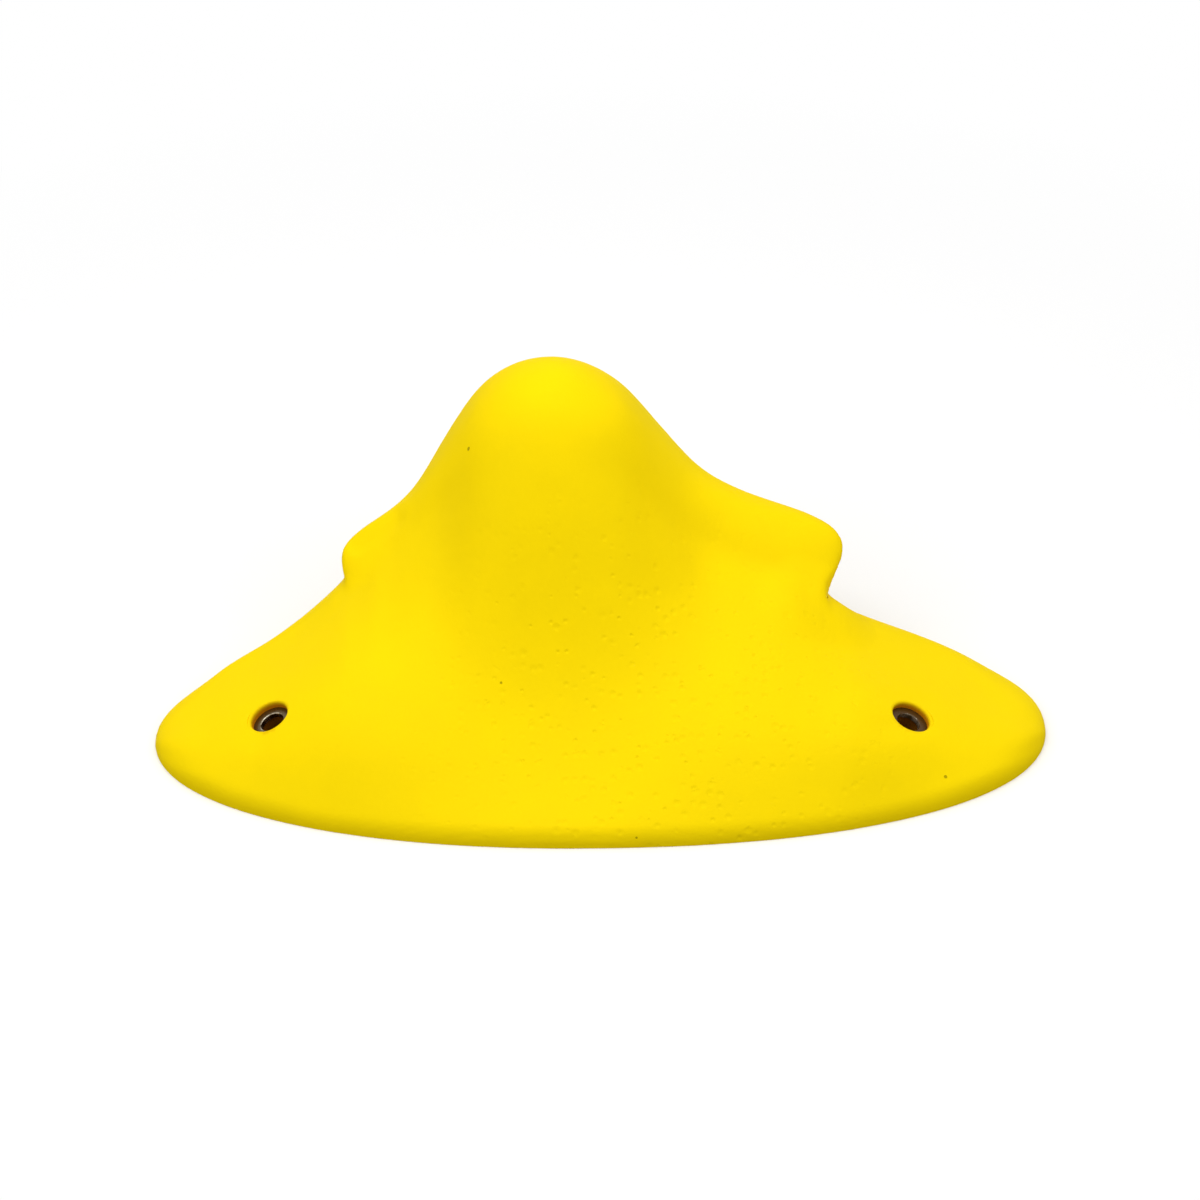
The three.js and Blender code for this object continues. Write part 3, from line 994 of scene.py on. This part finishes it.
class HOLD_OT_washers(bpy.types.Operator):
    """Stamps the two steel washers that are cast in under the screw recesses"""

    bl_idname = "hold.washers"
    bl_label = "Screw Washers"

    def execute(self, context):
        settings = context.scene.hold_washers
        inner = settings.bore / 2
        turn_steps = 96
        square_edge = math.radians(60)
        for node, unshaded_width in zip(WASHERS, settings.unshaded_width):
            seat = Seat(node)
            outer = seat.radius
            half = seat.thickness / 2
            corners = [(inner, -half), (outer, -half), (outer, half), (inner, half)]
            shape = spun(corners, turn_steps, ring=True)
            rims = [edge for edge in shape.edges if edge.calc_face_angle(0) > square_edge]
            bmesh.ops.bevel(
                shape,
                geom=rims,
                offset=settings.edge_round,
                segments=4,
                profile=0.5,
                affect="EDGES",
                material=-1,
            )
            bmesh.ops.transform(shape, matrix=seat.matrix(seat.middle), verts=shape.verts)
            washer = finished_piece(shape, f"{node}_ring", sharp_angle=math.radians(50))
            washer.data.materials.append(
                steel_material(f"{node}_steel", seat, settings, unshaded_width))
            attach(washer, "root")
            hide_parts(node)
        return {"FINISHED"}


# The stage

FLOOR_HALF_WIDTH = 4
FLOOR_GAP = 0.05 * MM
FLOOR_SEEN = (0.98, 0.98, 0.98)
FLOOR_BOUNCE = (0.30, 0.30, 0.30)
SHADOW_REACH = 0.14
WHITE_REACH = 0.34

# Each lamp's name, size and place
OVERHEAD_LAMP = ("overhead", 0.6, (-0.03, 0.01, 0.6))
LEFT_LAMP = ("left", 0.8, (-1.05, -0.45, 0.75))
RIGHT_LAMP = ("right", 0.8, (1.05, -0.45, 0.75))
LAMP_TARGET = Vector((0, 0, 0.03))

SENSOR_WIDTH = 36
NEAREST_SEEN = 0.01


def seen_directly(tree):
    """1 for what the camera, a reflection or a refraction sees, else 0"""
    path = tree.nodes.new("ShaderNodeLightPath").outputs
    seen = math_node(tree, "MAXIMUM", path["Is Camera Ray"], path["Is Glossy Ray"])
    return math_node(tree, "MAXIMUM", seen, path["Is Transmission Ray"])


def floor_material():
    """A pale floor that keeps the shadow near the hold and fades to white further out"""
    material, tree, shader, place = new_material(
        "pale_floor", Roughness=0.9, Specular_IOR_Level=0.0)
    seen = seen_directly(tree)
    tree.links.new(tint(tree, seen, FLOOR_BOUNCE, FLOOR_SEEN), shader.inputs["Base Color"])
    distance = vector_node(tree, "LENGTH", place, "from the middle of the floor")
    far = spread(tree, distance["Value"], SHADOW_REACH, WHITE_REACH)
    white = node_in(tree, "ShaderNodeEmission", "white surround", Strength=1.0)
    blend = tree.nodes.new("ShaderNodeMixShader")
    tree.links.new(math_node(tree, "MULTIPLY", far, seen), blend.inputs["Fac"])
    tree.links.new(shader.outputs["BSDF"], blend.inputs[1])
    tree.links.new(white.outputs["Emission"], blend.inputs[2])
    tree.links.new(blend.outputs["Shader"], tree.nodes["Material Output"].inputs["Surface"])
    return material


def pale_floor():
    """The floor just under the ground back of the hold"""
    shape = bmesh.new()
    bmesh.ops.create_grid(shape, x_segments=1, y_segments=1, size=FLOOR_HALF_WIDTH)
    bmesh.ops.translate(shape, verts=shape.verts, vec=(0, 0, -FLOOR_GAP))
    floor = finished_piece(shape, "pale_floor", sharp_angle=math.radians(30))
    floor.data.materials.append(floor_material())


def area_lamp(power, name, size, place):
    """A square soft lamp aimed at the hold"""
    data = bpy.data.lights.new(name, "AREA")
    data.energy = power
    data.size = size
    lamp = placed(name, data)
    lamp.location = place
    lamp.rotation_euler = (LAMP_TARGET - Vector(place)).to_track_quat("-Z", "Y").to_euler()


def white_room(strength):
    """Even light from all round, seen as white"""
    world = bpy.data.worlds.new("white_room")
    world.use_nodes = True
    tree = world.node_tree
    background = tree.nodes["Background"]
    background.inputs["Color"].default_value = (1, 1, 1, 1)
    seen = seen_directly(tree)
    light = spread(tree, seen, low=0, high=1, to_low=strength, to_high=1.0)
    tree.links.new(light, background.inputs["Strength"])
    bpy.context.scene.world = world


def aimed_camera(settings):
    """The camera in front of the hold, looking down on its target"""
    elevation = settings.camera_elevation
    away = Vector((0, -math.cos(elevation), math.sin(elevation)))
    data = bpy.data.cameras.new("camera")
    data.sensor_width = SENSOR_WIDTH
    data.lens = SENSOR_WIDTH * settings.camera_distance / settings.frame_width
    data.clip_start = NEAREST_SEEN
    camera = placed("camera", data)
    camera.location = Vector(settings.camera_target) + away * settings.camera_distance
    camera.rotation_euler = away.to_track_quat("Z", "Y").to_euler()
    return camera


class HOLD_OT_stage(bpy.types.Operator):
    """Sets the floor, the lamps, the room light and the camera"""

    bl_idname = "hold.stage"
    bl_label = "Stage"

    def execute(self, context):
        settings = context.scene.hold_stage
        pale_floor()
        area_lamp(settings.overhead_power, *OVERHEAD_LAMP)
        area_lamp(settings.left_power, *LEFT_LAMP)
        area_lamp(settings.right_power, *RIGHT_LAMP)
        white_room(settings.room_light)
        context.scene.camera = aimed_camera(settings)
        context.scene.view_settings.view_transform = "Standard"
        return {"FINISHED"}


class HOLD_PT_pieces(bpy.types.Panel):
    """Lists the hold's pieces and their settings"""

    bl_idname = "HOLD_PT_pieces"
    bl_label = "Climbing Hold"
    bl_space_type = "VIEW_3D"
    bl_region_type = "UI"
    bl_category = "Climbing Hold"

    def draw(self, context):
        for operator, settings in (
            ("hold.cast_body", context.scene.hold_body),
            ("hold.washers", context.scene.hold_washers),
            ("hold.stage", context.scene.hold_stage),
        ):
            box = self.layout.box()
            box.operator(operator)
            for name in settings.__annotations__:
                box.prop(settings, name)


CLASSES = (
    HoldBodySettings,
    HoldWasherSettings,
    HoldStageSettings,
    HOLD_OT_cast_body,
    HOLD_OT_washers,
    HOLD_OT_stage,
    HOLD_PT_pieces,
)


def register():
    for item in CLASSES:
        bpy.utils.register_class(item)
    bpy.types.Scene.hold_body = bpy.props.PointerProperty(type=HoldBodySettings)
    bpy.types.Scene.hold_washers = bpy.props.PointerProperty(type=HoldWasherSettings)
    bpy.types.Scene.hold_stage = bpy.props.PointerProperty(type=HoldStageSettings)


def unregister():
    del bpy.types.Scene.hold_stage
    del bpy.types.Scene.hold_washers
    del bpy.types.Scene.hold_body
    for item in reversed(CLASSES):
        bpy.utils.unregister_class(item)


def main():
    register()
    bpy.ops.hold.cast_body()
    bpy.ops.hold.washers()
    bpy.ops.hold.stage()


if __name__ == "__main__":
    main()
